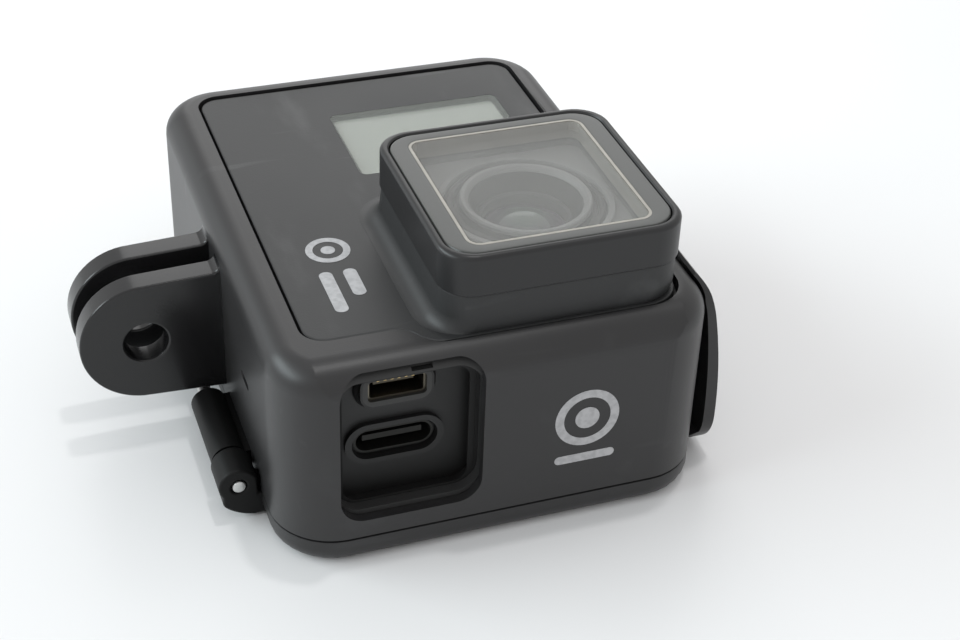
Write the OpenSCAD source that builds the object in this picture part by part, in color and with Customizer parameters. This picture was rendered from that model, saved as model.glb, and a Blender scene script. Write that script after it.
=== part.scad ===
// Action camera in a hinged mounting frame, lying on its back with the lens up.
// +X is the top of the camera, -X its underside with the two mounting fingers, -Y the side with the
// ports, +Z the way it looks. The origin is the middle of the footprint on the surface it lies on.

/* [Mounting frame] */
// Height of the camera's part of the frame (along X)
frame_h = 47.4; // [47.4:0.1:49]
// Extra thickness of the underside, which carries the fingers
foot = 1.8; // [1.4:0.1:2]
// Width of the frame, from the port side to the mode button side (along Y)
frame_w = 64.8; // [64.8:0.1:66]
// Level of the front of the frame above the surface
front_z = 25.3; // [25.3:0.1:27]
// Wall thickness of the frame
wall = 1.1; // [0.9:0.05:1.15]
// Radius of the four upright corners
corner_r = 6.5; // [6:0.5:7.5]
// Radius of the front edges
edge_r = 3; // [2.6:0.1:3.2]
// Radius of the front edge on the port side
near_edge_r = 4; // [3.4:0.1:4.2]
// Thickness of the rear door
door_t = 3.25; // [3:0.05:3.3]
// Open gap between the door and the frame
seam = 0.25; // [0.2:0.05:0.3]

/* [Camera] */
// Air between the camera and the frame
fit = 0.15; // [0.1:0.05:0.2]
// Level of the back of the camera
back_z = 1.5; // [1.4:0.1:1.6]
// Level of the front panel
panel_z = 25.1; // [24.9:0.1:25.2]
// Side of the square lens ring
lens_side = 27.2; // [26.4:0.1:27.3]
// Level of the front of the lens ring
lens_z = 34.5; // [34:0.1:36]
// Distance of the lens axis from the underside of the frame
lens_x = 30.3; // [29.8:0.1:30.4]
// Distance of the lens axis from the port side of the frame
lens_y = 17.1; // [16.9:0.1:17.3]

/* [Mounting fingers] */
// Radius of the round finger ends
finger_r = 7.5; // [7.3:0.1:7.6]
// Thickness of one finger
finger_t = 3; // [2.8:0.1:3.1]
// Gap between the two fingers
finger_gap = 3.2; // [3.1:0.1:3.4]
// Diameter of the hole for the thumb screw
finger_hole_d = 5; // [4.9:0.1:5.2]
// Distance of the hole from the inner part of the underside
finger_reach = 10.6; // [10:0.1:12]

/* [Door hinge and latch] */
// Diameter of the steel hinge pin
pin_d = 1.6; // [1.4:0.1:1.8]
// Radius of the hinge barrels
barrel_r = 2; // [1.8:0.1:2.1]
// Diameter of the steel latch pin
latch_pin_d = 1.2; // [1:0.1:1.3]
// Width of the latch along the top edge
latch_w = 30.4; // [28:0.2:31]

/* [Hidden] */
$fn = 96;
eps = 0.01;

// Hinge axis, finger hole and latch pivot, as [x, z]
hinge = [-4.3, 4.6];
finger_z = 13.6;
pivot = [frame_h + 1.7, 1.75];
finger_y = [frame_w / 2 - finger_gap / 2 - finger_t - 0.2, frame_w / 2 + finger_gap / 2 - 0.2];
// Footprint: from the finger tips to the bow of the latch
bow_x = frame_h + 3.2;
centre_x = (bow_x - finger_reach - finger_r) / 2;

// Camera inside the frame: [low, high] along X and Y
cam_x = [wall + fit, frame_h - wall - fit];
cam_y = [wall + fit, frame_w - wall - fit];
cam_front = front_z - wall - fit - 0.05;
cam_wall = 1.2;
cam_r = corner_r - wall - fit;
cover_z = 3;
inside_x = [cam_x[0] + cam_wall, cam_x[1] - cam_wall];
inside_y = [cam_y[0] + cam_wall, cam_y[1] - cam_wall];
inside_z = cam_front - 1;

// Opening in the frame's front, and the front panel that shows in it
bezel_x = [2.5, 43.9];
bezel_y = [6.4, 61.3];
bezel_r = 2.8;
panel_gap = 0.35;
lens_half = lens_side / 2;
lens_r = 3.8;
lens_gap = 0.5;
step_z = panel_z + 4.5;

// Window for the ports in the port side, [low, high]
port_x = [4.4, 20.1];
port_z = [5.7, 24.3];
port_r = 2.8;
inner_port_x = [4.2, 20.3];
inner_port_z = [6.3, 22.8];
port_floor = 4.2;
hdmi = [11.35, 20.5];
usb = [11.35, 13];

// Buttons: the shutter release on the top face and the mode button on the far side
shutter = [47, 13];
shutter_r = 4.8;
mode = [30, 13];
mode_size = [11.4, 5.4];

// Status display in the front panel
status_x = [18.4, 38.6];
status_y = [38.6, 52];

// Knuckles along the hinge, [start, end] along Y
door_knuckles = [[10.5, 15], [49.8, 54.3]];
frame_knuckles = [[15.4, 26.5], [37.9, 49.4]];
latch_y = 5.6;
latch_r = 5.5;
// The latch pin ends inside the latch, this far from its sides
pin_inset = 3;

// Shell, metal and plastic colours
shell_grey = [0.24, 0.235, 0.245];
panel_grey = [0.3, 0.3, 0.3];
black = [0.09, 0.09, 0.09];
steel = [0.66, 0.66, 0.66];

// ---- outlines -------------------------------------------------------------------------------

// Rounded rectangle between two ranges
module outline(u, v, r) {
    w = u[1] - u[0];
    h = v[1] - v[0];
    translate([u[0], v[0]]) {
        translate([r, 0]) square([w - 2 * r, h]);
        translate([0, r]) square([w, h - 2 * r]);
        for (p = [r, w - r], q = [r, h - r]) translate([p, q]) circle(r);
    }
}

// Rectangle whose two upper corners are round, each with its own radius
module arch(u, v, r0, r1) {
    translate([u[0], v[0]]) square([u[1] - u[0], v[1] - v[0] - max(r0, r1)]);
    translate([u[0], v[0]]) square([r0, v[1] - v[0] - r0]);
    translate([u[1] - r1, v[0]]) square([r1, v[1] - v[0] - r1]);
    translate([u[0] + r0, v[0]]) square([u[1] - u[0] - r0 - r1, v[1] - v[0]]);
    translate([u[0] + r0, v[1] - r0]) circle(r0);
    translate([u[1] - r1, v[1] - r1]) circle(r1);
}

// Extrusions of an outline along each axis, between two levels
module up(z) { translate([0, 0, z[0]]) linear_extrude(z[1] - z[0]) children(); }
module across(y) { translate([0, y[1], 0]) rotate([90, 0, 0]) linear_extrude(y[1] - y[0]) children(); }
module along(x) { translate([x[0], 0, 0]) rotate([90, 0, 90]) linear_extrude(x[1] - x[0]) children(); }

// Plain box between three ranges, and a rod along Y
module box(x, y, z) { translate([x[0], y[0], z[0]]) cube([x[1] - x[0], y[1] - y[0], z[1] - z[0]]); }
module rod(at, y, r) { across(y) translate(at) circle(r); }

// Case with upright corners of radius r and rounded front edges
module case_block(x, y, z, r, edge, near_edge) {
    intersection() {
        up(z) outline(x, y, r);
        across(y) arch(x, z, edge, edge);
        along(x) arch(y, z, near_edge, edge);
    }
}

// Moves a piece from the frame's near underside corner to the middle of the footprint
module placed() { translate([-centre_x, -frame_w / 2, 0]) children(); }

// ---- mounting frame -------------------------------------------------------------------------

// Front opening: the panel, widened round the lens block
module bezel_opening() {
    outline(bezel_x, bezel_y, bezel_r);
    outline([lens_x - lens_half - lens_gap, lens_x + lens_half + lens_gap],
            [lens_y - lens_half - lens_gap, lens_y + lens_half + lens_gap], lens_r + lens_gap);
    flare = bezel_y[0] - (lens_y - lens_half - lens_gap);
    translate([lens_x - lens_half - lens_gap - flare / 2, bezel_y[0] - flare / 2]) difference() {
        square(flare / 2 + 0.6);
        circle(flare / 2);
    }
}

// Side profile of a finger: round end, and flanks that spread a little towards the root
module finger_profile() {
    translate([-finger_reach, finger_z]) circle(finger_r);
    polygon([[-finger_reach, finger_z - finger_r], [-foot + 0.5, finger_z - finger_r - 0.4],
             [-foot + 0.5, finger_z + finger_r + 0.9], [-finger_reach, finger_z + finger_r]]);
}

module frame_knuckle(y) {
    rod(hinge, y, barrel_r);
    box([hinge[0], 0.5], y, [door_t + seam, hinge[1] + barrel_r / 2]);
}

module frame_shell() {
    color(shell_grey) placed() difference() {
        union() {
            case_block([-foot, frame_h], [0, frame_w], [door_t + seam, front_z], corner_r + 0.6, edge_r,
                       near_edge_r);
            for (y = finger_y) across([y, y + finger_t]) finger_profile();
            for (y = frame_knuckles) frame_knuckle(y);
        }
        case_block([wall, frame_h - wall], [wall, frame_w - wall], [0, front_z - wall - 0.05],
                   corner_r - wall, edge_r - wall, near_edge_r - wall);
        up([front_z - 3, front_z + 1]) bezel_opening();
        across([-1, near_edge_r - 1]) outline(port_x, port_z, port_r);
        // vent slot in the underside
        along([-foot - 1, wall + 1]) outline([15.1, 18.4], [13.75, 14.65], 0.44);
        // windows for the two buttons
        translate([frame_h - wall - 1, shutter[0], shutter[1]]) rotate([0, 90, 0])
            cylinder(r = shutter_r + 0.7, h = 3);
        across([frame_w - wall - 1, frame_w + 1])
            outline([mode[0] - mode_size[0] / 2 - 0.5, mode[0] + mode_size[0] / 2 + 0.5],
                    [mode[1] - mode_size[1] / 2 - 0.5, mode[1] + mode_size[1] / 2 + 0.5], 2.6);
        // thumb screw hole and hinge pin hole
        rod([-finger_reach, finger_z], [finger_y[0] - 1, finger_y[1] + finger_t + 1], finger_hole_d / 2);
        rod(hinge, [frame_knuckles[0][0] - 1, frame_knuckles[1][1] + 1], pin_d / 2);
    }
}

// Door: a shallow tray with a window for the touch display
module door_tray() {
    difference() {
        translate([0, 0, door_t]) mirror([0, 0, 1])
            case_block([-foot, frame_h], [0, frame_w], [0, door_t], corner_r + 0.6, 2, 2);
        up([back_z - 0.2, door_t + 1])
            outline([wall, frame_h - wall], [wall, frame_w - wall], corner_r - wall);
        up([-1, back_z]) outline([8, 40], [12, 53], 2);
    }
}

// Hinge arm that curls from the barrel down to the edge of the door
module door_arm(y) {
    rod(hinge, y, barrel_r + 0.3);
    across(y) polygon([[-6.4, 3.6], [-5.6, 2.4], [-4.3, 1.6], [-2.9, 0.9], [-1.6, 0.4], [0.9, 0.4],
                       [0.9, door_t], [-foot - 0.3, door_t], [-foot - 0.35, 5.2], [-4.3, 5.4]]);
}

module latch_knuckle() {
    y = [latch_y + 5.7, latch_y + latch_w - 5.7];
    rod(pivot, y, 1.35);
    box([frame_h - 0.6, pivot[0]], y, [0.9, door_t - 0.15]);
}

module rear_door() {
    color(shell_grey) placed() difference() {
        union() {
            door_tray();
            for (y = door_knuckles) door_arm(y);
            latch_knuckle();
        }
        for (y = door_knuckles) rod(hinge, [y[0] - 1, y[1] + 1], pin_d / 2 + 0.05);
        rod(pivot, [latch_y, latch_y + latch_w], latch_pin_d / 2);
    }
}

module hinge_pin() { color(steel) placed() rod(hinge, [10.7, 54.1], pin_d / 2); }

// ---- latch ----------------------------------------------------------------------------------

// Section of the latch: a bowed strip from the pivot to a lip that curls over the front edge
module latch_profile() {
    bow_r = 70;
    inner_r = 92.3;
    lip = [frame_h - edge_r, front_z - edge_r];
    intersection() {
        difference() {
            translate([bow_x - bow_r, 6]) circle(bow_r, $fn = 360);
            translate([bow_x - 1.4 - inner_r, 6]) circle(inner_r, $fn = 360);
        }
        translate([frame_h, pivot[1]]) square([4, lip[1] - pivot[1]]);
    }
    intersection() {
        translate(lip) difference() {
            circle(edge_r + 1.4);
            circle(edge_r + 0.35);
        }
        translate(lip) polygon([[0, 0], [8, -eps], [8, 6.25]]);
    }
    translate(pivot) circle(1.5);
}

module latch() {
    color(shell_grey) placed() difference() {
        intersection() {
            across([latch_y, latch_y + latch_w]) latch_profile();
            along([frame_h - edge_r, bow_x + 1])
                outline([latch_y, latch_y + latch_w], [0.2, front_z + 0.6], latch_r);
        }
        box([frame_h, frame_h + 4], [latch_y + 5.4, latch_y + latch_w - 5.4], [-1, 4.1]);
        rod(pivot, [latch_y + pin_inset - 0.2, latch_y + latch_w - pin_inset + 0.2], latch_pin_d / 2 + 0.05);
    }
}

module latch_pin() {
    color(steel) placed() rod(pivot, [latch_y + pin_inset, latch_y + latch_w - pin_inset], latch_pin_d / 2);
}

// ---- camera body ----------------------------------------------------------------------------

// Hollow housing, open at the back
module camera_body() {
    color(black) placed() difference() {
        case_block(cam_x, cam_y, [cover_z, cam_front], cam_r, edge_r - wall - fit, near_edge_r - wall - fit);
        up([cover_z - 1, inside_z]) outline(inside_x, inside_y, cam_r - cam_wall);
        translate([lens_x, lens_y, inside_z - 1]) cylinder(r = 9.4, h = 4);
        up([inside_z - 1, cam_front + 1])
            outline([status_x[0] - 0.4, status_x[1] + 0.4], [status_y[0] - 0.4, status_y[1] + 0.4], 0.8);
        across([0, inside_y[0] + 1]) outline(inner_port_x, inner_port_z, port_r);
        // slot for the catch of a port cover
        box([12.6, 14.9], [0, 2.6], [inside_z, inside_z + 0.4]);
        translate([inside_x[1] - 1, shutter[0], shutter[1]]) rotate([0, 90, 0])
            cylinder(r = shutter_r + 0.3, h = 4);
        across([inside_y[1] - 1, frame_w])
            outline([mode[0] - mode_size[0] / 2 - 0.3, mode[0] + mode_size[0] / 2 + 0.3],
                    [mode[1] - mode_size[1] / 2 - 0.3, mode[1] + mode_size[1] / 2 + 0.3], 2.6);
        along([cam_x[0] - 1, inside_x[0] + 1]) outline([29, 58.6], [4.4, 16.6], 1.6);
    }
}

// Outline of the lens block, grown by g
module lens_outline(g = 0) {
    reach = lens_half + g;
    outline([lens_x - reach, lens_x + reach], [lens_y - reach, lens_y + reach], lens_r + g);
}

module faceplate() {
    color(panel_grey) placed() up([cam_front, panel_z]) difference() {
        outline([bezel_x[0] + panel_gap, bezel_x[1] - panel_gap],
                [bezel_y[0] + panel_gap, bezel_y[1] - panel_gap], bezel_r - panel_gap);
        lens_outline(0.02);
        outline([status_x[0] - 0.8, status_x[1] + 0.8], [status_y[0] - 0.8, status_y[1] + 0.8], 1);
    }
}

module status_window() {
    color([0.75, 0.77, 0.74]) placed() up([panel_z - 0.6, panel_z - 0.02])
        outline([status_x[0] - 0.78, status_x[1] + 0.78], [status_y[0] - 0.78, status_y[1] + 0.78], 0.98);
}

module status_lcd() {
    color([0.7, 0.73, 0.68]) placed() up([inside_z - 0.2, panel_z - 0.65])
        outline([status_x[0] - 0.3, status_x[1] + 0.3], [status_y[0] - 0.3, status_y[1] + 0.3], 0.6);
}

// ---- lens -----------------------------------------------------------------------------------

module lens_housing() {
    color(panel_grey) placed() difference() {
        up([cam_front, step_z - 0.05]) lens_outline(-0.1);
        translate([lens_x, lens_y, cam_front - 1]) cylinder(r = 9.4, h = 8);
    }
}

// Outline of an opening under the glass, grown by g
module glass_outline(g, r) {
    outline([lens_x - 10.25 - g, lens_x + 10.25 + g], [lens_y - 11 - g, lens_y + 11 + g], r);
}

// Square ring that holds the protective glass
module lens_ring() {
    color(panel_grey) placed() difference() {
        union() {
            up([step_z, lens_z - 0.4]) lens_outline();
            up([lens_z - 0.5, lens_z]) lens_outline(-0.4);
        }
        up([lens_z - 1.4, lens_z + 1]) glass_outline(0, 1.4);
        up([step_z + 1, lens_z]) glass_outline(-0.8, 1);
        up([step_z - 1, lens_z - 2.2]) glass_outline(0.6, 2);
    }
}

module cover_glass() {
    color([0.6, 0.6, 0.58]) placed() up([lens_z - 1.4, lens_z - 0.3]) glass_outline(-0.08, 1.32);
}

module lens_mask() {
    color(black) placed() up([lens_z - 3.6, lens_z - 3]) difference() {
        glass_outline(0.5, 1.9);
        translate([lens_x, lens_y]) circle(8.1);
    }
}

// Pieces turned about the lens axis, with the profile as [radius, level]
module turned() { placed() translate([lens_x, lens_y, 0]) rotate_extrude() children(); }

module lens_barrel() {
    color(black) turned()
        polygon([[8.9, 12.6], [8.9, 30.4], [7.95, 30.6], [7.95, 32.2], [7.3, 32.3], [6.1, 30.4],
                 [5.4, 30.4], [5.4, 27.2], [4.4, 27.2], [4.4, 17], [7.6, 17], [7.6, 12.6]]);
}

module lens_retainer() {
    color([0.2, 0.2, 0.2]) turned() translate([4.6, 29.2]) square([0.78, 1.1]);
}

// Domed front element
module front_lens() {
    color([0.2, 0.25, 0.22]) placed() translate([lens_x, lens_y, 0]) intersection() {
        translate([0, 0, 27.25]) cylinder(r = 4.55, h = 5);
        translate([0, 0, 23.9]) sphere(r = 6);
    }
}

module inner_lens() {
    color([0.2, 0.25, 0.22]) placed() translate([lens_x, lens_y, 18]) cylinder(r = 4.35, h = 2.4);
}

module image_sensor() {
    color([0.25, 0.2, 0.3]) placed()
        box([lens_x - 4, lens_x + 4], [lens_y - 3.5, lens_y + 3.5], [12.6, 13.8]);
}

module sensor_board() {
    color([0.1, 0.3, 0.2]) placed()
        box([lens_x - 9.6, lens_x + 9.6], [lens_y - 9.2, lens_y + 9.2], [11.4, 12.55]);
}

// ---- back of the camera ---------------------------------------------------------------------

module rear_cover() {
    color(black) placed() difference() {
        up([back_z, cover_z - 0.02]) outline(cam_x, cam_y, cam_r);
        up([back_z - 1, back_z + 0.8]) outline([5, 42.4], [8, 57], 2.4);
        up([back_z - 1, cover_z + 1]) outline([7, 41], [11, 54.5], 0.8);
    }
}

module display_glass() {
    color([0.12, 0.12, 0.13]) placed()
        up([back_z, back_z + 0.78]) outline([5.05, 42.35], [8.05, 56.95], 2.35);
}

module touch_display() {
    color([0.16, 0.17, 0.19]) placed() up([back_z + 0.8, 4.1]) outline([7.05, 40.95], [11.05, 54.45], 0.75);
}

// ---- inside ---------------------------------------------------------------------------------

module battery() { color([0.2, 0.25, 0.35]) placed() up([4.6, 16]) outline([3.2, 41], [29.2, 58.4], 1.5); }

module battery_door() {
    color(black) placed()
        along([cam_x[0] + 0.02, inside_x[0] - 0.02]) outline([29.15, 58.45], [4.55, 16.45], 1.5);
}

module main_board() { color([0.1, 0.3, 0.2]) placed() up([17, 18.2]) outline([3.2, 42.8], [27.6, 60.4], 1); }

// Aluminium plate that spreads the heat and carries the boards
module chassis() {
    color([0.7, 0.71, 0.72]) placed() difference() {
        up([19, 20.2]) outline([3.2, 44.2], [27.6, 61.6], 1.5);
        for (x = [6, 41], y = [30.4, 58.8]) translate([x, y, 18]) cylinder(r = 0.8, h = 4);
    }
}

// ---- ports ----------------------------------------------------------------------------------

// Stadium between two half-widths
module stadium(at, w, h) {
    outline([at[0] - w / 2, at[0] + w / 2], [at[1] - h / 2, at[1] + h / 2], h / 2 - eps);
}

// Space inside the housing, a little smaller all round
module inside() {
    gap = 0.03;
    up([cover_z, inside_z])
        outline([inside_x[0] + gap, inside_x[1] - gap],
                [inside_y[0] + gap, inside_y[1] - gap], cam_r - cam_wall);
}

module port_panel() {
    color(black) placed() intersection() {
        inside();
        port_tray();
    }
}

module port_tray() {
    difference() {
        union() {
            difference() {
                across([inside_y[0] + 0.02, port_floor + 1])
                    outline([3.6, 20.9], [4.9, inside_z - 0.02], 1.5);
                across([inside_y[0] - 1, port_floor]) outline([4.6, 19.9], [5.9, inside_z - 0.3], 2);
            }
            across([port_floor - 1.4, port_floor + 1]) outline([hdmi[0] - 4, hdmi[0] + 4],
                                                                [hdmi[1] - 2.2, hdmi[1] + 2.2], 1.6);
            across([port_floor - 0.6, port_floor + 1]) stadium(usb, 11, 5.2);
        }
        across([0, port_floor + 2])
            outline([hdmi[0] - 3.25, hdmi[0] + 3.25], [hdmi[1] - 1.35, hdmi[1] + 1.35], 0.5);
        across([0, port_floor + 0.4]) stadium(usb, 9.5, 4);
        across([0, port_floor + 2]) stadium(usb, 8.95, 3.15);
    }
}

// Rubber seal round the mouth of the tray
module port_gasket() {
    color([0.06, 0.06, 0.06]) placed() intersection() {
        inside();
        across([inside_y[0], inside_y[0] + 0.3]) difference() {
            outline([4.62, 19.88], [5.92, inside_z - 0.32], 1.98);
            outline([5.3, 19.2], [6.6, inside_z - 0.9], 1.6);
        }
    }
}

module hdmi_port() {
    color(steel) placed() difference() {
        across([port_floor - 1, 11])
            outline([hdmi[0] - 3.2, hdmi[0] + 3.2], [hdmi[1] - 1.3, hdmi[1] + 1.3], 0.45);
        difference() {
            across([0, 10.4])
                outline([hdmi[0] - 2.95, hdmi[0] + 2.95], [hdmi[1] - 1.05, hdmi[1] + 1.05], 0.3);
            box([hdmi[0] - 2.2, hdmi[0] + 2.2], [port_floor + 0.2, 12], [hdmi[1] - 0.3, hdmi[1] + 0.3]);
        }
    }
}

module usb_port() {
    color(steel) placed() difference() {
        across([port_floor, 11.4]) stadium(usb, 8.9, 3.1);
        difference() {
            across([0, 10.8]) stadium(usb, 8.34, 2.56);
            box([usb[0] - 3.3, usb[0] + 3.3], [port_floor + 0.6, 12], [usb[1] - 0.35, usb[1] + 0.35]);
        }
    }
}

module port_board() {
    color([0.1, 0.3, 0.2]) placed() box([4.6, 18.4], [port_floor + 1.4, 22], [10.1, 11.3]);
}

// ---- buttons and sound ----------------------------------------------------------------------

module shutter_button() {
    color([0.14, 0.14, 0.14]) placed()
    translate([inside_x[1] - 1.05, shutter[0], shutter[1]]) rotate([0, 90, 0]) {
        cylinder(r = shutter_r + 0.8, h = 1);
        cylinder(r = shutter_r, h = 3);
    }
}

module shutter_switch() {
    color(steel) placed() translate([inside_x[1] - 3.2, shutter[0], shutter[1]]) {
        translate([0, -2, -2]) cube([1, 4, 4]);
        rotate([0, 90, 0]) cylinder(r = 1, h = 1.4);
    }
}

module mode_button() {
    color([0.14, 0.14, 0.14]) placed() {
        across([inside_y[1] - 1.05, inside_y[1] - 0.05])
            outline([mode[0] - mode_size[0] / 2 - 0.8, mode[0] + mode_size[0] / 2 + 0.8],
                    [mode[1] - mode_size[1] / 2 - 0.8, mode[1] + mode_size[1] / 2 + 0.8], 3);
        across([inside_y[1] - 1.05, inside_y[1] + 1.85])
            outline([mode[0] - mode_size[0] / 2, mode[0] + mode_size[0] / 2],
                    [mode[1] - mode_size[1] / 2, mode[1] + mode_size[1] / 2], 2.4);
    }
}

module mode_switch() {
    color(steel) placed() {
        box([mode[0] - 2, mode[0] + 2], [inside_y[1] - 2.9, inside_y[1] - 2], [mode[1] - 1.5, mode[1] + 1.5]);
        rod(mode, [inside_y[1] - 2.5, inside_y[1] - 1.65], 0.7);
    }
}

module speaker() { color([0.2, 0.2, 0.2]) placed() up([4.4, 7.4]) outline([22, 38], [5, 13], 1.5); }

module microphone() { color(steel) placed() translate([8, 24.4, 20]) cylinder(r = 1.8, h = 1.6); }

frame_shell();
rear_door();
hinge_pin();
latch();
latch_pin();
camera_body();
faceplate();
lens_housing();
lens_ring();
cover_glass();
lens_mask();
lens_barrel();
lens_retainer();
front_lens();
inner_lens();
image_sensor();
sensor_board();
status_window();
status_lcd();
rear_cover();
display_glass();
touch_display();
battery();
battery_door();
main_board();
chassis();
port_panel();
port_gasket();
hdmi_port();
usb_port();
port_board();
shutter_button();
shutter_switch();
mode_button();
mode_switch();
speaker();
microphone();
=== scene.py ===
from math import acos, asin, cos, degrees, pi, radians, sin

import bpy
from mathutils import Matrix, Vector


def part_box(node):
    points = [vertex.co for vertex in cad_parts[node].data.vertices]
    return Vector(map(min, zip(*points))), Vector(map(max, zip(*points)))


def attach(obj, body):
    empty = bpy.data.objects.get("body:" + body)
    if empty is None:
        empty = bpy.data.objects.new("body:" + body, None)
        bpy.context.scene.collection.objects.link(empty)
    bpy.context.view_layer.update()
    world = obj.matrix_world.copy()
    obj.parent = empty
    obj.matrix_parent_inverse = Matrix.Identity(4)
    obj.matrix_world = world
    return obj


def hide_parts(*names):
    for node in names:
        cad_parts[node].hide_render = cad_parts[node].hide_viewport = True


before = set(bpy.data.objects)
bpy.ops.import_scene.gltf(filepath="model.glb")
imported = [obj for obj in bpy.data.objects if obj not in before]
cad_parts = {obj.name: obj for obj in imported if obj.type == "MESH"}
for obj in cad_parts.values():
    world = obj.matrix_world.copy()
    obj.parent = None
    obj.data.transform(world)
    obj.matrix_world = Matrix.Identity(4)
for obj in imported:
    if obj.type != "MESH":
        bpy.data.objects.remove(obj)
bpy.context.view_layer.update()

MM = 0.001

# ---- viewpoint ------------------------------------------------------------------------------
# A camera at reading distance, a little to the underside of the object and above it. It looks
# at the port side and the front, and is turned very slightly round its own axis.

VIEW_AZIMUTH, VIEW_ELEVATION, VIEW_ROLL = radians(-20.47), radians(35.09), radians(2.28)
backward = Vector((sin(VIEW_AZIMUTH) * cos(VIEW_ELEVATION), -cos(VIEW_AZIMUTH) * cos(VIEW_ELEVATION),
                   sin(VIEW_ELEVATION)))
level_right = (-backward).cross(Vector((0, 0, 1))).normalized()
level_up = level_right.cross(-backward)
rightward = level_right * cos(VIEW_ROLL) + level_up * sin(VIEW_ROLL)
upward = level_up * cos(VIEW_ROLL) - level_right * sin(VIEW_ROLL)
viewer = bpy.data.objects.new("viewer", bpy.data.cameras.new("viewer"))
viewer.data.lens, viewer.data.sensor_width = 67.2, 36
viewer.data.clip_start, viewer.data.clip_end = 0.01, 20
stance = Matrix((rightward, upward, backward)).transposed().to_4x4()
stance.translation = Vector((-48.8, -170.8, 133.2)) * MM
viewer.matrix_world = stance
bpy.context.scene.collection.objects.link(viewer)
bpy.context.scene.camera = viewer

# ---- frame shell ----------------------------------------------------------------------------
# The front half of the mounting frame, one moulding in glass-filled nylon with a fine satin
# grain. It wraps the camera with a wall of about a millimetre, and leaves the front panel, the
# ports and the buttons free. The camera slides in from behind, where the door closes it.

body_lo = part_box("camera_body")[0]
WALL, SKIN = 1.1, 1.25                       # frame wall, and wall with the air inside it
CASE_H, CASE_W, FRONT = 47.4, 64.8, 25.3     # height and width of the frame, level of its front
SEAM = 3.5                                   # level where the door ends and the shell begins
CORNER, INNER_CORNER = 7.1, 5.4
RIM, NEAR_RIM = 3.0, 4.0                     # radius of the front edges, and of the one over the ports
FOOT = 1.8                                   # extra thickness of the underside, which carries the fingers
origin = Vector((body_lo[0] - SKIN * MM, body_lo[1] - SKIN * MM, 0))


def at(x, y, z):
    """Point given in millimetres from the near underside corner of the frame."""
    return origin + Vector((x, y, z)) * MM


def nothing_selected():
    bpy.ops.object.select_all(action="DESELECT")


def only(piece):
    nothing_selected()
    piece.select_set(True)
    bpy.context.view_layer.objects.active = piece


def block(name, lo, hi):
    """Cube between two corners in millimetres."""
    nothing_selected()
    lo, hi = at(*lo), at(*hi)
    bpy.ops.mesh.primitive_cube_add(size=1, location=(lo + hi) / 2, scale=hi - lo)
    piece = bpy.context.object
    piece.name = name
    bpy.ops.object.transform_apply(location=True, rotation=True, scale=True)
    return piece


def round_edges(piece, wanted, radius, segments=8):
    """Rounds the edges whose two ends wanted() accepts."""
    only(piece)
    bpy.ops.object.mode_set(mode="EDIT")
    bpy.ops.mesh.select_mode(type="EDGE")
    bpy.ops.mesh.select_all(action="DESELECT")
    bpy.ops.object.mode_set(mode="OBJECT")
    for edge in piece.data.edges:
        edge.select = wanted(*[piece.data.vertices[v].co for v in edge.vertices])
    bpy.ops.object.mode_set(mode="EDIT")
    bpy.ops.mesh.bevel(offset=radius * MM, offset_type="OFFSET", segments=segments, profile=0.5,
                       affect="EDGES", clamp_overlap=False)
    bpy.ops.object.mode_set(mode="OBJECT")


def along(axis):
    """Accepts edges that run along one axis."""
    return lambda a, b: all(abs(a[i] - b[i]) < 1e-6 for i in range(3) if i != axis)


def on_level(level):
    """Accepts edges that lie on one level."""
    return lambda a, b: abs(a.z - level * MM) < 1e-6 and abs(b.z - level * MM) < 1e-6


def rounded_block(name, lo, hi, corner, rim=0, axis=2, segments=10):
    """Block with round edges along one axis, and a rounded rim at its upper end."""
    piece = block(name, lo, hi)
    round_edges(piece, along(axis), corner, segments)
    if rim:
        round_edges(piece, on_level(hi[2]), rim, 8)
    return piece


def disc(name, centre, radius, depth, axis, count=64):
    """Cylinder about a point, along an axis."""
    nothing_selected()
    turn = [(0, pi / 2, 0), (pi / 2, 0, 0), (0, 0, 0)][axis]
    bpy.ops.mesh.primitive_cylinder_add(vertices=count, radius=radius * MM, depth=depth * MM,
                                        location=at(*centre), rotation=turn)
    piece = bpy.context.object
    piece.name = name
    bpy.ops.object.transform_apply(location=True, rotation=True, scale=True)
    return piece


def apply(piece, kind, **settings):
    """Adds a modifier with these settings and applies it."""
    only(piece)
    modifier = piece.modifiers.new(kind.lower(), kind)
    for key, value in settings.items():
        setattr(modifier, key, value)
    bpy.ops.object.modifier_apply(modifier=modifier.name)


def cut(piece, *cutters, operation="DIFFERENCE"):
    for cutter in cutters:
        apply(piece, "BOOLEAN", operation=operation, object=cutter, solver="EXACT")
        bpy.data.objects.remove(cutter)


def shade(piece, angle=32):
    only(piece)
    bpy.ops.object.shade_smooth_by_angle(angle=radians(angle))
    apply(piece, "WEIGHTED_NORMAL", keep_sharp=True, weight=60)


def soften(piece, width, segments=3, angle=38):
    """Breaks the sharp edges as a mould does."""
    apply(piece, "BEVEL", width=width * MM, segments=segments, limit_method="ANGLE",
          angle_limit=radians(angle), use_clamp_overlap=True)
    shade(piece)


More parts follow.
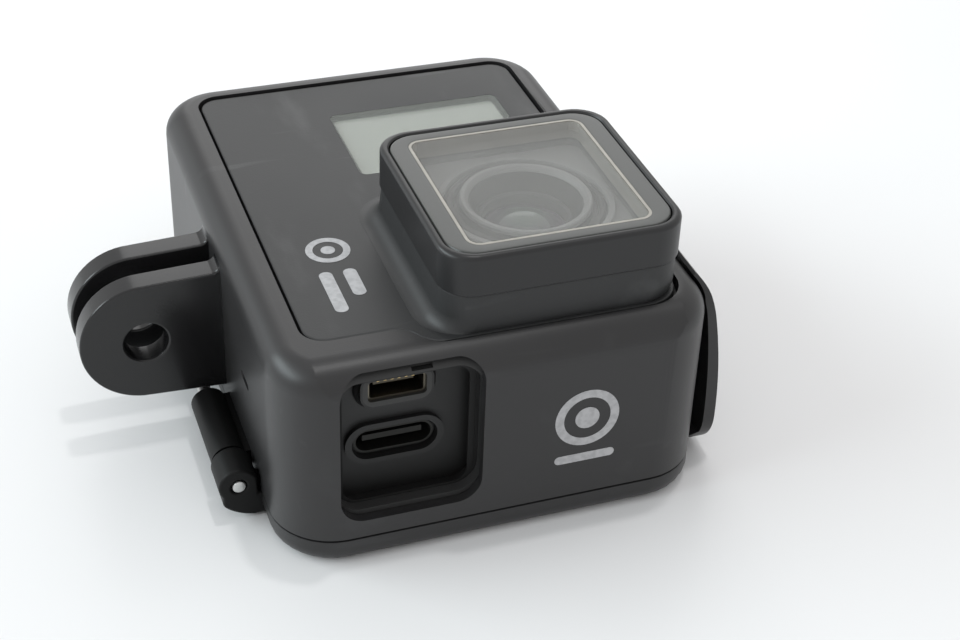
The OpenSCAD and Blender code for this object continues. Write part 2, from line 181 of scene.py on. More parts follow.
def skinned(name, loops, ring=False):
    """Skin drawn through loops of equally many points; a ring joins its last loop to its first,
    anything else is capped at both ends."""
    nothing_selected()
    count = len(loops[0])
    bpy.ops.mesh.primitive_circle_add(vertices=count, fill_type="NOTHING")
    piece = bpy.context.object
    piece.name = name
    mesh = piece.data
    for level, loop in enumerate(loops):
        if level:
            bpy.ops.object.mode_set(mode="EDIT")
            bpy.ops.mesh.extrude_region_move()
            bpy.ops.object.mode_set(mode="OBJECT")
        else:
            bpy.ops.object.mode_set(mode="EDIT")
            bpy.ops.mesh.select_all(action="SELECT")
            bpy.ops.object.mode_set(mode="OBJECT")
        for vertex, point in zip(mesh.vertices[level * count:], loop):
            vertex.co = point
    ends = [range(count), range((len(loops) - 1) * count, len(loops) * count)]
    for chosen in [list(ends[0]) + list(ends[1])] if ring else ends:
        bpy.ops.object.mode_set(mode="EDIT")
        bpy.ops.mesh.select_mode(type="VERT")
        bpy.ops.mesh.select_all(action="DESELECT")
        bpy.ops.object.mode_set(mode="OBJECT")
        for index in chosen:
            mesh.vertices[index].select = True
        bpy.ops.object.mode_set(mode="EDIT")
        if ring:
            bpy.ops.mesh.bridge_edge_loops()
        else:
            bpy.ops.mesh.edge_face_add()
        bpy.ops.object.mode_set(mode="OBJECT")
    bpy.ops.object.mode_set(mode="EDIT")
    bpy.ops.mesh.select_all(action="SELECT")
    bpy.ops.mesh.normals_make_consistent(inside=False)
    bpy.ops.object.mode_set(mode="OBJECT")
    return piece


def sweep(centre, radius, start, end, count=8):
    """Points on an arc, with angles in degrees."""
    return [(centre[0] + radius * cos(radians(start + (end - start) * i / count)),
             centre[1] + radius * sin(radians(start + (end - start) * i / count))) for i in range(count + 1)]


def rounded_outline(u, v, r, count=8):
    """Rounded rectangle between two ranges, as points in a plane."""
    r = max(r, 0.02)
    corners = [(u[1] - r, v[0] + r), (u[1] - r, v[1] - r), (u[0] + r, v[1] - r), (u[0] + r, v[0] + r)]
    points = []
    for quarter, corner in enumerate(corners):
        points += sweep(corner, r, 90 * quarter - 90, 90 * quarter, count)
    return points


def flat(outline, level, axis=2):
    """Outline laid at a level along an axis, as places in space."""
    places = []
    for u, v in outline:
        places.append(at(*[(level, u, v), (u, level, v), (u, v, level)][axis]))
    return places


def prism(name, outline, lo, hi, axis=2):
    return skinned(name, [flat(outline, lo, axis), flat(outline, hi, axis)])


LENS_X, LENS_Y, LENS_HALF = 30.3, 17.1, 13.6    # lens axis, and half the side of the square lens block
LENS_GAP = 0.5


def panel_outline(gap=0.0):
    """Edge of the front opening; the front panel is smaller by the gap. The long near side steps
    out round the lens block in two equal arcs."""
    x0, x1, y0, y1, r = 2.5 + gap, 43.9 - gap, 6.4 + gap, 61.3 - gap, 2.8 - gap
    block_x, block_y = LENS_X + LENS_HALF + LENS_GAP - gap, LENS_Y - LENS_HALF - LENS_GAP + gap
    block_r = 4.3
    step_x, run, drop = 11.4, 5.6, y0 - block_y      # where the step starts, its length and depth
    bend = (run * run + drop * drop) / (4 * drop)
    swing = degrees(asin(run / 2 / bend))
    return (sweep((x0 + r, y0 + r), r, 180, 270)
            + sweep((step_x, y0 - bend), bend, 90, 90 - swing)
            + sweep((step_x + run, block_y + bend), bend, 270 - swing, 270)
            + sweep((block_x - block_r, block_y + block_r), block_r, -90, 0)
            + [(block_x, LENS_Y + LENS_HALF - 3), (x1, LENS_Y + LENS_HALF - 1)]
            + sweep((x1 - r, y1 - r), r, 0, 90) + sweep((x0 + r, y1 - r), r, 90, 180))


def near_front_edge(a, b):
    """Accepts the front edge of the near side."""
    return all(abs(v.y - origin.y) < 1e-6 and abs(v.z - FRONT * MM) < 1e-6 for v in (a, b))


shell = rounded_block("frame_shell_moulding", (-FOOT, 0, SEAM), (CASE_H, CASE_W, FRONT), CORNER, RIM,
                      segments=20)
hollow = rounded_block("hollow", (WALL, WALL, 1), (CASE_H - WALL, CASE_W - WALL, FRONT - WALL - 0.05),
                       INNER_CORNER, RIM - WALL, segments=16)
near_round = block("near_round", (-9, 0, -9), (CASE_H + 9, CASE_W + 9, FRONT))
round_edges(near_round, near_front_edge, NEAR_RIM, 20)
cut(shell, near_round, operation="INTERSECT")
cut(shell, hollow,
    prism("front_opening", panel_outline(), FRONT - 3, FRONT + 1),
    rounded_block("port_window", (4.4, -1, 5.7), (20.1, 3, 24.3), 2.8, axis=1),
    rounded_block("vent", (-FOOT - 1, 15.1, 13.75), (WALL + 1, 18.4, 14.65), 0.43, axis=0, segments=4),
    rounded_block("mode_window", (23.8, CASE_W - WALL - 1, 9.8), (36.2, CASE_W + 1, 16.2), 2.6, axis=1),
    disc("shutter_window", (CASE_H, 47, 13), 5.5, 4, 0))
soften(shell, 0.32)
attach(shell, "camera")
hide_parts("frame_shell")


class Wire:
    """One output in a material, so that shader maths reads as arithmetic."""

    def __init__(self, finish, socket):
        self.finish, self.socket = finish, socket

    def maths(self, operation, *others):
        values = {i: v for i, v in enumerate((self,) + others)}
        return self.finish.node("ShaderNodeMath", {"operation": operation}, values)

    def __add__(self, other):
        return self.maths("ADD", other)

    def __sub__(self, other):
        return self.maths("SUBTRACT", other)

    def __mul__(self, other):
        return self.maths("MULTIPLY", other)

    def __rsub__(self, other):
        return (self * -1) + other

    __radd__, __rmul__ = __add__, __mul__

    def between(self, low, high):
        """0 below low, 1 above high, smooth between."""
        return self.finish.node("ShaderNodeMapRange", {"interpolation_type": "SMOOTHSTEP"},
                                {"Value": self, "From Min": low, "From Max": high})


class Finish:
    """A material with a Principled surface; constants are set on its own sockets."""

    def __init__(self, name, colour, roughness, **constants):
        self.material = bpy.data.materials.new(name)
        self.material.use_nodes = True
        self.tree = self.material.node_tree
        self.surface = self.tree.nodes["Principled BSDF"]
        self.set("Base Color", (*colour, 1))
        self.set("Roughness", roughness)
        for key, value in constants.items():
            self.set(key.replace("_", " "), value)
        self.place = self.node("ShaderNodeTexCoord", out="Object")

    def set(self, socket, value):
        if isinstance(value, Wire):
            self.tree.links.new(value.socket, self.surface.inputs[socket])
        else:
            self.surface.inputs[socket].default_value = value

    def node(self, kind, settings=None, inputs=None, out=0):
        made = self.tree.nodes.new(kind)
        for key, value in (settings or {}).items():
            setattr(made, key, value)
        for key, value in (inputs or {}).items():
            if isinstance(value, Wire):
                self.tree.links.new(value.socket, made.inputs[key])
            else:
                made.inputs[key].default_value = value
        return Wire(self, made.outputs[out])

    def noise(self, scale, detail=3, stretch=(1, 1, 1)):
        where = self.node("ShaderNodeMapping", inputs={"Vector": self.place, "Scale": stretch})
        return self.node("ShaderNodeTexNoise", inputs={"Vector": where, "Scale": scale, "Detail": detail},
                         out="Fac")

    def blend(self, mask, first, second):
        return self.node("ShaderNodeMix", {"data_type": "RGBA"},
                         {0: mask, 6: first if isinstance(first, Wire) else (*first, 1),
                          7: second if isinstance(second, Wire) else (*second, 1)}, out=2)

    def bump(self, height, strength, distance=0.02 * MM):
        self.set("Normal", self.node("ShaderNodeBump", inputs={"Height": height, "Strength": strength,
                                                                "Distance": distance}))


def moulded(name, colour, worn, roughness, grain=0.35, wear=0.5, ior=1.48):
    """Moulded plastic: a fine spark-eroded grain, slightly uneven gloss, and rubbed patches."""
    finish = Finish(name, colour, roughness, IOR=ior)
    fine, cloudy = finish.noise(5200, 2), finish.noise(60, 4)
    rubbed = finish.noise(140, 6, (1, 0.35, 1)).between(0.58, 0.8) * wear
    scratch = finish.noise(420, 2, (0.12, 1.6, 0.7)).between(0.66, 0.74) * wear * 0.6
    mark = rubbed + scratch
    uneven = finish.blend(cloudy, colour, [c * 1.25 for c in colour])
    finish.set("Base Color", finish.blend(mark, uneven, worn))
    finish.set("Roughness", (cloudy - 0.5) * 0.12 + roughness - mark * 0.08)
    finish.bump(fine + rubbed * 0.15, grain)
    return finish.material


frame_plastic = moulded("satin_nylon", (0.018, 0.0175, 0.018), (0.036, 0.036, 0.037), 0.37)


def coat(material, *pieces):
    for piece in pieces:
        piece.data.materials.clear()
        piece.data.materials.append(material)


coat(frame_plastic, shell)

# ---- mounting fingers -----------------------------------------------------------------------
# Two plates with round ends, part of the same moulding as the shell. A thumb screw goes through
# both, and the middle finger of another mount between them, so the hole and the gap are to size
# and every edge is well rounded.

FINGER_X, FINGER_Z, FINGER_R = -10.6, 13.6, 7.5
FINGER_HOLE = 2.5
finger_ranges = [(27.6, 30.6), (33.8, 36.8)]


def finger_outline():
    root, upper, lower = 0.5 - FOOT, FINGER_Z + FINGER_R, FINGER_Z - FINGER_R
    return (sweep((FINGER_X, FINGER_Z), FINGER_R, 90, 270, 32) + [(root, lower - 0.4), (root, upper + 1.6)]
            + sweep((root - 1.6, upper + 1.4), 1.1, 0, -80, 5))


fingers = []
for index, (start, end) in enumerate(finger_ranges):
    finger = prism(f"finger_{index + 1}", finger_outline(), start, end, axis=1)
    cut(finger, disc("screw_hole", (FINGER_X, (start + end) / 2, FINGER_Z), FINGER_HOLE, 8, 1))
    soften(finger, 0.6, 4)
    fingers.append(finger)

for piece in fingers:
    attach(piece, "camera")
finger_plastic = moulded("polished_nylon", (0.011, 0.011, 0.0115), (0.025, 0.025, 0.025), 0.2, grain=0.08,
                         wear=0.3)
coat(finger_plastic, *fingers)

# ---- hinge knuckles of the shell ------------------------------------------------------------
# Two barrels along the rear edge of the underside, with a web each that runs up into the wall.
# The pin sits tight in them.

HINGE_X, HINGE_Z, BARREL = -4.3, 4.6, 2.0
PIN_R = 0.79


def knuckle_outline():
    return (sweep((-1.1, 7.0), 1.5, 0, -90, 6) + sweep((HINGE_X, HINGE_Z), BARREL, 25, 290, 24)
            + [(-2.6, 3.5), (0.4, 3.55)])


knuckles = []
for index, (start, end) in enumerate([(15.4, 26.5), (37.9, 49.4)]):
    knuckle = prism(f"shell_knuckle_{index + 1}", knuckle_outline(), start, end, axis=1)
    cut(knuckle, disc("pin_bore", (HINGE_X, (start + end) / 2, HINGE_Z), PIN_R + 0.02, 20, 1, 32))
    soften(knuckle, 0.25)
    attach(knuckle, "camera")
    knuckles.append(knuckle)
# Painted shade: the knuckles are coloured near black, far darker than the shell they belong to, for the
# shade on the hinge barrel; the door's arms take the same colour.
hinge_near_black_painted_shade = moulded("hinge_nylon_near_black_painted_shade", (0.004, 0.004, 0.004), (0.012, 0.012, 0.012), 0.5, grain=0.2,
                        wear=0.2, ior=1.3)
coat(hinge_near_black_painted_shade, *knuckles)

# ---- hinge pin ------------------------------------------------------------------------------
# A straight steel wire pin with a slightly domed end, pushed through all the knuckles.

pin_profile = [(0.45, 10.42), (0.7, 10.5), (PIN_R, 10.65), (PIN_R, 54.15), (0.7, 54.3), (0.45, 54.38)]
pin = skinned("hinge_pin_steel", [flat(sweep((HINGE_X, HINGE_Z), r, 0, 348.75, 31), y, 1)
                                  for r, y in pin_profile])
shade(pin)
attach(pin, "camera")
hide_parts("hinge_pin")
steel = Finish("pin_steel", (0.62, 0.62, 0.61), 0.32, Metallic=1.0)
steel.set("Roughness", steel.noise(900, 3) * 0.25 + 0.25)
steel.bump(steel.noise(3000, 2, (1, 0.1, 1)), 0.15)
coat(steel.material, pin)

# ---- rear door ------------------------------------------------------------------------------
# A shallow tray in the same nylon that closes the frame from behind. It has a window for the
# touch display, a rounded rear edge, two arms that curl up round the hinge pin, and a knuckle
# for the latch on its top edge.

DOOR_T = 3.25


def tray_loop(g, level, r=CORNER):
    return flat(rounded_outline((g - FOOT, CASE_H - g), (g, CASE_W - g), r - g), level)


door_edge = [(2 * (1 - cos(radians(a))), 2 * (1 - sin(radians(a)))) for a in (0, 15, 30, 45, 60, 75, 90)]
window_u, window_v, window_r = (8, 40), (12, 53), 2.2
FLOOR, BREAK = 1.3, 0.4                      # thickness of the tray's floor, and its window's broken edge


def window_loop(g, level):
    return flat(rounded_outline((window_u[0] + g, window_u[1] - g), (window_v[0] + g, window_v[1] - g),
                                window_r - g), level)


def inner_loop(g, level):
    return flat(rounded_outline((g, CASE_H - g), (g, CASE_W - g), INNER_CORNER), level)


tray = skinned("rear_door_tray",
               [tray_loop(0.25, DOOR_T), tray_loop(0.06, DOOR_T - 0.08), tray_loop(0, DOOR_T - 0.25)]
               + [tray_loop(g, z) for g, z in door_edge]
               + [window_loop(0, 0), window_loop(BREAK, BREAK), window_loop(BREAK, FLOOR)]
               + [inner_loop(WALL, FLOOR), inner_loop(WALL, DOOR_T - 0.1), inner_loop(WALL - 0.1, DOOR_T)],
               ring=True)
shade(tray)


def arm_outline():
    return (sweep((HINGE_X, HINGE_Z), 2.25, 20, 215, 20) + sweep((-1.9, 5.9), 5.7, 222, 262, 8)
            + [(0.9, 0.45), (0.9, DOOR_T), (-FOOT - 0.35, DOOR_T)])


arms = []
for index, (start, end) in enumerate([(10.5, 15), (49.8, 54.3)]):
    arm = prism(f"door_arm_{index + 1}", arm_outline(), start, end, axis=1)
    cut(arm, disc("pin_bore", (HINGE_X, (start + end) / 2, HINGE_Z), PIN_R + 0.06, 9, 1, 32))
    soften(arm, 0.35, 3)
    arms.append(arm)
LATCH_X, LATCH_Z = CASE_H + 1.7, 1.75
holder = prism("latch_holder", sweep((LATCH_X, LATCH_Z), 1.35, -100, 100, 20)
               + [(CASE_H - 0.6, 3.05), (CASE_H - 0.6, 0.9)], 11.3, 30.3, axis=1)
soften(holder, 0.2)
for piece in [tray, holder] + arms:
    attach(piece, "rear_door")
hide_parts("rear_door")
coat(frame_plastic, tray, holder)
coat(hinge_near_black_painted_shade, *arms)

# ---- latch ----------------------------------------------------------------------------------
# A bowed strip over the top face of the frame, hinged on the door. It snaps over the front edge
# with a curled lip, and is pulled outwards to open the door.

LATCH_Y, LATCH_CORNER = (5.6, 36.0), 5.5


def latch_outline():
    bow, hollow_r, turn = 70.0, 92.3, 13.5           # radii of the two faces, and where the lip begins
    outer_c, inner_c = (50.6 - bow, 6), (49.2 - hollow_r, 6)
    lip_r = 4.9
    reach = bow - lip_r
    lip = (outer_c[0] + reach * cos(radians(turn)), outer_c[1] + reach * sin(radians(turn)))
    edge = (CASE_H - 3.0, FRONT - 3.0)
    rise = lambda r, z: degrees(asin((z - 6) / r))
    return (sweep((LATCH_X, LATCH_Z), 1.5, 150, 350, 16) + sweep(outer_c, bow, rise(bow, 1.2), turn, 20)
            + sweep(lip, lip_r, turn + 4, 47, 10) + sweep(edge, 3.4, 42, 0, 8)
            + sweep(inner_c, hollow_r, rise(hollow_r, edge[1]), rise(hollow_r, 3.4), 16))


latch = prism("latch_strip", latch_outline(), *LATCH_Y, axis=1)
corners = block("latch_corners", (CASE_H - 6, LATCH_Y[0], 0.2), (CASE_H + 6, LATCH_Y[1], FRONT + 0.4))
round_edges(corners, along(0), LATCH_CORNER, 16)
cut(latch, corners, operation="INTERSECT")
cut(latch, block("knuckle_gap", (CASE_H - 1, 11, -1), (CASE_H + 4, 30.6, 4.1)),
    disc("pin_bore", (LATCH_X, 20.8, LATCH_Z), 0.66, 24.6, 1, 32))
soften(latch, 0.4, 4)
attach(latch, "latch")
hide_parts("latch")
coat(frame_plastic, latch)
coat(steel.material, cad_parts["latch_pin"])

# ---- front panel ----------------------------------------------------------------------------
# The camera's own front, in a darker soft-touch plastic, glued into the housing. It rises in a
# hollow curve into the block that carries the lens, and has a window for the status display.

PANEL_Z, STEP_Z = 25.1, 29.6


def lens_outline(g, level, r=3.8, left=None, upper=None):
    """Outline round the lens axis, grown by g; the left and far sides may grow differently."""
    left = g if left is None else left
    upper = g if upper is None else upper
    return flat(rounded_outline((LENS_X - LENS_HALF - left, LENS_X + LENS_HALF + g),
                                (LENS_Y - LENS_HALF - g, LENS_Y + LENS_HALF + upper),
                                r + max(g, left) * 0.6), level)


panel = skinned("front_panel", [flat(panel_outline(0.35), 24.02), flat(panel_outline(0.35), PANEL_Z - 0.3),
                                flat(panel_outline(0.42), PANEL_Z - 0.1), flat(panel_outline(0.6), PANEL_Z)])
cut(panel, rounded_block("display_window", (17.6, 37.8, 20), (39.4, 52.8, 30), 1.0))
shade(panel)
FILLET = 2.1
block_loops = [lens_outline(-0.15, PANEL_Z - 0.9, left=FILLET, upper=FILLET)]
for turn in (0, 10, 20, 32, 45, 58, 70, 80):
    spread, rise = FILLET * (1 - sin(radians(turn))), FILLET * (1 - cos(radians(turn)))
    block_loops.append(lens_outline(-0.15, PANEL_Z + 0.02 + rise, left=spread, upper=spread))
block_loops += [lens_outline(-0.2, STEP_Z - 0.25, left=-0.2, upper=-0.2),
                lens_outline(-0.3, STEP_Z - 0.05, left=-0.3, upper=-0.3)]
lens_block = skinned("lens_block", block_loops)
cut(lens_block, disc("barrel_bore", (LENS_X, LENS_Y, 26), 9.2, 12, 2, 96))
shade(lens_block)
soft_touch = moulded("soft_touch_plastic", (0.018, 0.0185, 0.019), (0.05, 0.052, 0.052), 0.46, grain=0.5,
                     wear=0.7)
for piece, node in [(panel, "faceplate"), (lens_block, "lens_housing")]:
    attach(piece, "camera")
    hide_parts(node)
    coat(soft_touch, piece)

# ---- lens ring ------------------------------------------------------------------------------
# The square ring that turns and locks on the lens block: an outer rim with a round edge, and a
# flush border inside it, parted by a fine groove. The border frames the protective glass with
# a thin light line, which is the edge of the glass itself.

RING_Z, EDGE = 34.5, 0.55
GLASS_X, GLASS_Y = 10.2, 11.0                # half sides of the window in the ring
BORDER_FOOT, GLASS_FOOT = 31, 32.2
BORDER_R = 3.9
rim_curve = [(-EDGE * (1 - cos(radians(turn))), RING_Z - EDGE * (1 - sin(radians(turn))))
             for turn in range(0, 91, 15)]
rim = skinned("lens_rim", [lens_outline(-0.12, STEP_Z + 0.05), lens_outline(0, STEP_Z + 0.18)]
              + [lens_outline(g, z) for g, z in rim_curve]
              + [lens_outline(-0.75, RING_Z - 0.02), lens_outline(-0.9, RING_Z - 0.2),
                 lens_outline(-0.9, BORDER_FOOT), lens_outline(-0.9, STEP_Z + 0.05)], ring=True)
shade(rim)


def glass_outline(g, level, r=1.4):
    """Outline of the window in the ring, grown by g."""
    return flat(rounded_outline((LENS_X - GLASS_X - g, LENS_X + GLASS_X + g),
                                (LENS_Y - GLASS_Y - g, LENS_Y + GLASS_Y + g), r + g), level)


border = skinned("glass_border", [lens_outline(-1.0, BORDER_FOOT, BORDER_R),
                                  lens_outline(-1.0, RING_Z - 0.3, BORDER_R),
                                  lens_outline(-1.1, RING_Z - 0.14, BORDER_R),
                                  lens_outline(-1.25, RING_Z - 0.1, BORDER_R),
                                  glass_outline(0.3, RING_Z - 0.1), glass_outline(0.2, RING_Z - 0.16),
                                  glass_outline(0.2, BORDER_FOOT)], ring=True)
shade(border)
light_line = skinned("glass_edge", [glass_outline(0.19, GLASS_FOOT), glass_outline(0.19, RING_Z - 0.13),
                                    glass_outline(-0.14, RING_Z - 0.13), glass_outline(-0.14, GLASS_FOOT)],
                     ring=True)
shade(light_line)
ring_plastic = moulded("ring_plastic", (0.0115, 0.0115, 0.012), (0.03, 0.032, 0.031), 0.36, grain=0.3,
                       wear=0.3)
border_black = moulded("glass_border_black", (0.055, 0.057, 0.054), (0.08, 0.08, 0.08), 0.3, grain=0.08,
                       wear=0.15)
edge_light = Finish("glass_edge_light", (0.34, 0.32, 0.28), 0.35)
edge_light.set("Base Color", edge_light.blend(edge_light.noise(500, 2), (0.25, 0.235, 0.21),
                                              (0.4, 0.375, 0.33)))
for piece, material in [(rim, ring_plastic), (border, border_black), (light_line, edge_light.material)]:
    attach(piece, "camera")
    coat(material, piece)
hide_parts("lens_ring")

# ---- protective glass -----------------------------------------------------------------------
# A coated pane in the ring. It carries a thin veil of dust, and its coating gives a soft sheen.

PANE_R = 1.3
pane = skinned("protective_glass", [glass_outline(-0.16, 33.15, PANE_R),
                                    glass_outline(-0.16, RING_Z - 0.28, PANE_R),
                                    glass_outline(-0.26, RING_Z - 0.16, PANE_R)])
shade(pane)
veil = Finish("coated_glass", (0.36, 0.36, 0.345), 0.1, IOR=1.5)
veil.set("Alpha", veil.noise(90, 4) * 0.1 + 0.21)
veil.set("Roughness", veil.noise(120, 4) * 0.1 + 0.06)
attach(pane, "camera")
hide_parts("cover_glass")
coat(veil.material, pane)

# ---- lens -----------------------------------------------------------------------------------
# A wide lens in a black stepped barrel: a dark groove, a satin ridge, a deep cone that keeps stray light
# out, and coated elements whose small green and violet reflections are painted into their colour.


def lathed(name, profile, ring=True, count=96):
    loops = [flat(sweep((LENS_X, LENS_Y), r, 0, 360 - 360 / count, count - 1), z) for r, z in profile]
    piece = skinned(name, loops, ring)
    shade(piece)
    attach(piece, "camera")
    return piece


barrel = lathed("lens_barrel_turned",
                [(8.9, 13), (8.9, 31.0), (8.6, 31.3), (8.05, 31.3), (7.9, 30.6), (7.35, 30.6), (7.3, 31.5),
                 (6.3, 31.5), (6.1, 30.9), (5.7, 29.6), (5.5, 29.2), (5.5, 27.3), (4.5, 27.2), (4.5, 13)])
ridge = lathed("lens_barrel_ridge",
               [(7.3, 31.52), (7.3, 31.9), (7.15, 32.1), (6.8, 32.1), (6.5, 31.9), (6.32, 31.52)])
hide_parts("lens_barrel")
retainer = lathed("lens_retainer_ring",
                  [(5.45, 29.0), (5.4, 29.5), (5.1, 29.65), (4.75, 29.5), (4.6, 29.1), (4.6, 28.6)])
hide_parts("lens_retainer")
mask = lathed("lens_mask_plate",
              [(9.9, 30.9), (9.9, 31.35), (9.75, 31.5), (9.1, 31.5), (9.0, 31.3), (9.0, 30.9)])
surround_bore = sweep((LENS_X, LENS_Y), 9.6, -85, 265, 35)
surround = skinned("lens_surround", [glass_outline(0.1, 30.0), glass_outline(0.1, 31.1),
                                     flat(surround_bore, 31.1), flat(surround_bore, 30.0)], ring=True)
shade(surround)
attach(surround, "camera")
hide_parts("lens_mask")
DOME_R, DOME_HALF, DOME_Z = 6.0, 4.55, 23.9    # radius, half width and level of the centre
dome_edge = acos(DOME_HALF / DOME_R)
dome_turns = [dome_edge + (pi / 2 - dome_edge) * i / 14 for i in range(14)]
dome = lathed("front_element", [(DOME_HALF, 28.3)]
              + [(DOME_R * cos(turn), DOME_Z + DOME_R * sin(turn)) for turn in dome_turns]
              + [(0.05, 29.9)], ring=False)
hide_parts("front_lens")
lens_black = moulded("lens_black", (0.008, 0.008, 0.008), (0.012, 0.012, 0.012), 0.42, grain=0, wear=0.2)
lens_grey = moulded("lens_mask_grey", (0.2, 0.2, 0.195), (0.22, 0.22, 0.22), 0.45, grain=0, wear=0.2)
coat(lens_black, barrel, retainer)
coat(lens_grey, mask, surround, ridge)
coated = Finish("coated_lens", (0.012, 0.016, 0.014), 0.05, IOR=1.6, Coat_Weight=1.0, Coat_Roughness=0.02)
from_axis = coated.node("ShaderNodeVectorMath", {"operation": "LENGTH"}, {0: coated.node(
    "ShaderNodeMapping", inputs={"Vector": coated.place, "Location": -at(LENS_X, LENS_Y, 0),
                                 "Scale": (1, 1, 0)})}, out="Value")
# Painted reflection: the base colour goes from green near the lens axis to violet further out, for the
# coloured reflections of the coating.
painted_reflection_tint = coated.blend((from_axis * 1000).between(1.0, 4.2), (0.02, 0.06, 0.035), (0.05, 0.02, 0.06))
coated.set("Base Color", painted_reflection_tint)
coat(coated.material, dome)

# ---- status display -------------------------------------------------------------------------
# A small reflective display behind a clear window: a pale grey-green field with a dark edge.

lcd_field = Finish("display_field", (0.3, 0.33, 0.29), 0.25, Coat_Weight=0.3, Coat_Roughness=0.08)
lcd_field.set("Base Color", lcd_field.blend(lcd_field.noise(90, 3), (0.29, 0.32, 0.275),
                                            (0.36, 0.385, 0.335)))
coat(lcd_field.material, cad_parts["status_lcd"])
clear = Finish("display_window", (0.4, 0.42, 0.39), 0.12, IOR=1.5)
clear.set("Alpha", clear.noise(300, 3) * 0.06 + 0.22)
coat(clear.material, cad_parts["status_window"])

# ---- housing, rear cover and display --------------------------------------------------------
# The camera's housing shows only through the windows of the frame, the rear cover and its dark
# glass through the window of the door.

housing_black = moulded("housing_black", (0.03, 0.03, 0.03), (0.05, 0.05, 0.05), 0.5, grain=0.4, wear=0.3)
for name in ("camera_body", "rear_cover", "battery_door"):
    coat(housing_black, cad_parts[name])
screen = Finish("display_glass", (0.008, 0.008, 0.01), 0.06, Coat_Weight=1.0, Coat_Roughness=0.03)
screen.set("Roughness", screen.noise(160, 4).between(0.4, 0.8) * 0.12 + 0.05)
for name in ("display_glass", "touch_display"):
    coat(screen.material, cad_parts[name])

# ---- buttons --------------------------------------------------------------------------------
# Satin caps in the housing, each on a small switch.

button_plastic = moulded("button_plastic", (0.03, 0.03, 0.031), (0.07, 0.07, 0.07), 0.35, grain=0.2,
                         wear=0.3)
for name in ("shutter_button", "mode_button"):
    coat(button_plastic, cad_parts[name])

# ---- ports ----------------------------------------------------------------------------------
# Receptacles in a recessed black panel with a rubber seal round its mouth. The video port stands on a raised
# collar, with a near-black ring of painted shade round its foot for the shadow in the moat there; the USB
# port lies in a stadium-shaped recess.

PORT_FLOOR = 4.2                             # depth of the recessed panel
VIDEO_X, VIDEO_Z = 11.35, 20.5               # middle of the video port
CONTACT_PITCH = 0.76
coat(moulded("port_panel_black", (0.009, 0.009, 0.009), (0.03, 0.03, 0.03), 0.5, grain=0.3, wear=0.3),
     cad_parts["port_panel"])
plated = Finish("plated_shell", (0.16, 0.145, 0.115), 0.35, Metallic=1.0)
plated.set("Roughness", plated.noise(1200, 3) * 0.2 + 0.28)
for name in ("hdmi_port", "shutter_switch", "mode_switch", "microphone"):
    coat(plated.material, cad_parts[name])
blackened = Finish("blackened_shell", (0.02, 0.02, 0.018), 0.4, Metallic=0.6)
blackened.set("Roughness", blackened.noise(1200, 3) * 0.2 + 0.3)
coat(blackened.material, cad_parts["usb_port"])
gasket_and_painted_shade = moulded("seal_rubber", (0.006, 0.006, 0.006), (0.02, 0.02, 0.02), 0.6, grain=0.5, wear=0.2)
coat(gasket_and_painted_shade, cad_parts["port_gasket"])


def collar_outline(g):
    return rounded_outline((VIDEO_X - 4 - g, VIDEO_X + 4 + g),
                           (VIDEO_Z - 2.2 - g, min(VIDEO_Z + 2.2 + g, 22.7)), 1.6 + g)


collar_mouth = rounded_outline((VIDEO_X - 3.2, VIDEO_X + 3.2), (VIDEO_Z - 1.3, VIDEO_Z + 1.3), 0.45)
collar_edge = [(0.02, PORT_FLOOR), (0.02, 3.0), (-0.1, 2.84), (-0.3, 2.78)]
collar = skinned("video_port_collar", [flat(collar_outline(g), y, 1) for g, y in collar_edge]
                 + [flat(collar_mouth, y, 1) for y in (2.78, PORT_FLOOR)], ring=True)
shade(collar)
# Painted shade: a near-black ring laid in the moat round the collar's foot, where there is only shadow.
moat_shade_ring_edge = [(0.02, PORT_FLOOR), (0.02, 3.6), (0.25, 3.45), (0.45, 3.7), (0.45, PORT_FLOOR)]
moat_painted_shade_ring = skinned("video_port_moat_painted_shade", [flat(collar_outline(g), y, 1) for g, y in moat_shade_ring_edge], ring=True)
shade(moat_painted_shade_ring)
contacts = []
for index in range(6):
    x = VIDEO_X - 1.9 + CONTACT_PITCH * index
    contacts.append(block(f"video_contact_{index + 1}", (x, 4.0, VIDEO_Z + 0.28),
                          (x + 0.3, 7.0, VIDEO_Z + 0.42)))
gold = Finish("contact_gold", (0.75, 0.55, 0.25), 0.3, Metallic=1.0)
gold.set("Roughness", gold.noise(2000, 2) * 0.2 + 0.2)
collar_grey = moulded("collar_black", (0.022, 0.022, 0.021), (0.05, 0.05, 0.05), 0.42, grain=0.2, wear=0.3)
for piece, material, slot in ([(collar, collar_grey, "camera_plastic"), (moat_painted_shade_ring, gasket_and_painted_shade, "seal_rubber")]
                              + [(contact, gold.material, "port_metal") for contact in contacts]):
    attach(piece, "camera")
    coat(material, piece)

# ---- printed marks --------------------------------------------------------------------------
# Plain marks printed in light grey ink, one on the front panel and one on the port side: a ring
# with a dot in it, and a short bar with round ends.

INK = 0.03                                   # half the thickness of the ink


def ring_mark(name, u, v, radius, width, level, axis):
    inner = radius - width
    profile = [(radius, level - INK), (radius, level + INK), (inner, level + INK), (inner, level - INK)]
    return skinned(name, [flat(sweep((u, v), r, 0, 352.5, 47), z, axis) for r, z in profile], ring=True)


def filled_mark(name, u, v, r, level, axis):
    return prism(name, rounded_outline(u, v, r), level - INK, level + INK, axis)


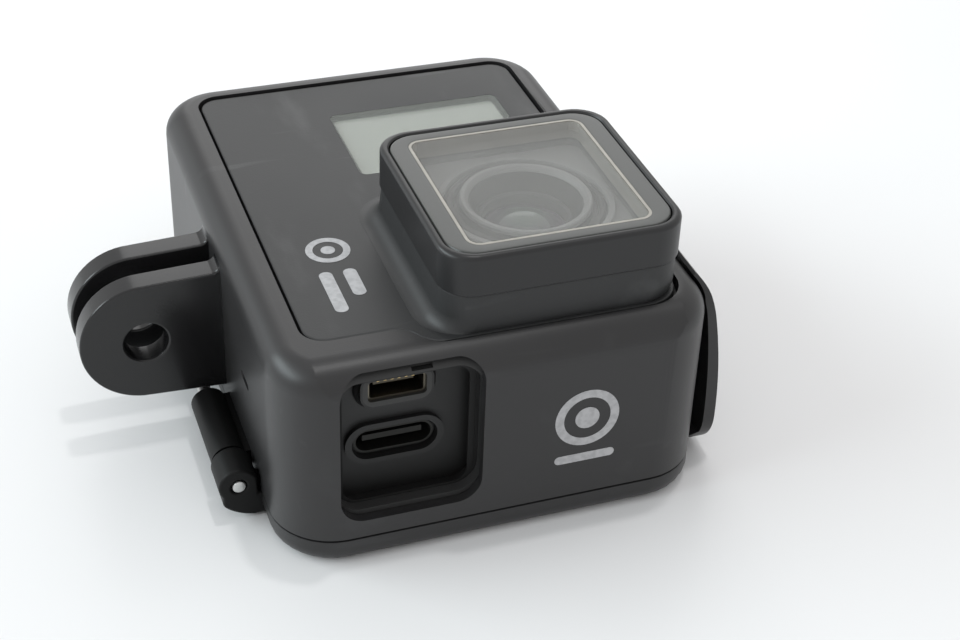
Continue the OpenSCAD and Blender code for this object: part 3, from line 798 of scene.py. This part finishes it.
marks = [ring_mark("front_mark_ring", 9.5, 23.2, 2.5, 0.8, PANEL_Z, 2),
         filled_mark("front_mark_dot", (8.7, 10.3), (22.4, 24.0), 0.8, PANEL_Z, 2),
         filled_mark("front_mark_bar", (7.2, 8.7), (11.2, 19.0), 0.7, PANEL_Z, 2),
         filled_mark("front_mark_short_bar", (9.9, 11.4), (13.8, 19.0), 0.7, PANEL_Z, 2),
         ring_mark("side_mark_ring", 31.9, 14.0, 3.7, 1.0, 0, 1),
         filled_mark("side_mark_dot", (30.5, 33.3), (12.6, 15.4), 1.4, 0, 1),
         filled_mark("side_mark_bar", (28.4, 35.4), (8.1, 9.2), 0.55, 0, 1)]
ink = Finish("printed_ink", (0.42, 0.42, 0.43), 0.55)
ink.set("Base Color", ink.blend(ink.noise(1500, 3).between(0.35, 0.7), (0.45, 0.45, 0.46),
                                (0.36, 0.36, 0.37)))
for mark in marks:
    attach(mark, "camera")
    coat(ink.material, mark)

# ---- insides --------------------------------------------------------------------------------
# Boards with solder mask, the battery in its wrap, the heat plate, sensor, speaker and lens.

board = Finish("solder_mask", (0.02, 0.1, 0.05), 0.35)
board.set("Base Color", board.blend(board.noise(900, 2).between(0.45, 0.55), (0.015, 0.08, 0.04),
                                    (0.03, 0.14, 0.07)))
for name in ("sensor_board", "main_board", "port_board"):
    coat(board.material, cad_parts[name])
wrap = moulded("battery_wrap", (0.05, 0.07, 0.15), (0.1, 0.12, 0.2), 0.4, wear=0.2)
coat(wrap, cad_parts["battery"])
plate = Finish("heat_plate", (0.6, 0.6, 0.62), 0.35, Metallic=1.0)
plate.set("Roughness", plate.noise(400, 4, (1, 8, 1)) * 0.2 + 0.25)
coat(plate.material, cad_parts["chassis"])
sensor = Finish("sensor_window", (0.08, 0.05, 0.1), 0.1)
sensor.set("Base Color", sensor.blend(sensor.noise(600, 2), (0.05, 0.03, 0.08), (0.1, 0.07, 0.12)))
coat(sensor.material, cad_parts["image_sensor"])
coat(lens_black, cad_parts["speaker"])
coat(coated.material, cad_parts["inner_lens"])

# ---- table and light ------------------------------------------------------------------------
# A white, slightly shiny table top in a bright room, with a long window at the left, a soft
# light on the far side, and a small lamp above that draws the faint shadows of the fingers.

nothing_selected()
bpy.ops.mesh.primitive_plane_add(size=6, location=(0, 0, 0))
table = bpy.context.object
table.name = "table_top"
white = Finish("white_laminate", (0.82, 0.82, 0.825), 0.35)
white.set("Base Color", white.blend(white.noise(12, 3), (0.8, 0.8, 0.805), (0.84, 0.84, 0.845)))
coat(white.material, table)


def lamp(name, place, aim, size, power, colour=(1, 1, 1), height=None):
    """Rectangular light at a place, turned to what it aims at."""
    light = bpy.data.objects.new(name, bpy.data.lights.new(name, "AREA"))
    light.data.shape, light.data.size, light.data.energy, light.data.color = "RECTANGLE", size, power, colour
    light.data.size_y = height or size
    light.location = place
    light.rotation_euler = (Vector(aim) - Vector(place)).to_track_quat("-Z", "Y").to_euler()
    bpy.context.scene.collection.objects.link(light)


lamp("window", (-2.5, 0.7, 1.5), (0, 0, 0.1), 3.0, 62, (0.86, 0.97, 1.0), height=1.1)
lamp("overhead", (0.12, 0.05, 0.9), (0, 0, 0), 0.045, 1.1)
lamp("far_wall", (0.8, 2.8, 1.3), (0, 0, 0), 1.8, 12)
world = bpy.data.worlds.new("bright_room")
bpy.context.scene.world = world
world.use_nodes = True
world.node_tree.nodes["Background"].inputs["Color"].default_value = (1, 1, 1, 1)
world.node_tree.nodes["Background"].inputs["Strength"].default_value = 0.78
bpy.context.scene.view_settings.view_transform = "Standard"
